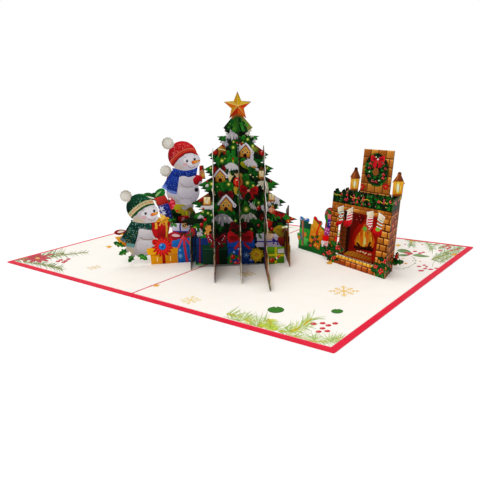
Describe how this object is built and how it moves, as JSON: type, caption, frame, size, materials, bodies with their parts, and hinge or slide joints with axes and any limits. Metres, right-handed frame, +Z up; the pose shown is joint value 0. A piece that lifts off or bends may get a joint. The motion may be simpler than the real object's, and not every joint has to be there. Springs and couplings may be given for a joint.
{
  "type": "pop up card",
  "caption": "Open pop up card: a slotted paper lattice forms a fir tree with snowmen and gifts, beside a paper fireplace, on a red cover with pale pages.",
  "frame": {"origin": "middle of the open card's footprint, at the underside of the cover, under the middle of the crease", "axes": "+Z up from the table, +X along the front edge to the right page, +Y along the crease away from the front edge"},
  "size_m": [0.3, 0.21, 0.1228],
  "materials": {
    "cover_card": "matte",
    "page_card": "matte",
    "printed_card": "satin"
  },
  "bodies": {
    "root": {"cover": "cover_card", "left_page": "page_card", "right_page": "page_card", "tree_face": "printed_card", "snowman_slice": "printed_card", "rear_slice": "printed_card", "cross_slice_far_left": "printed_card", "cross_slice_left": "printed_card", "cross_slice_middle": "printed_card", "cross_slice_right": "printed_card", "cross_slice_far_right": "printed_card", "fireplace_surround": "printed_card", "fireplace_back": "printed_card", "gift_row": "printed_card"}
  },
  "joints": []
}
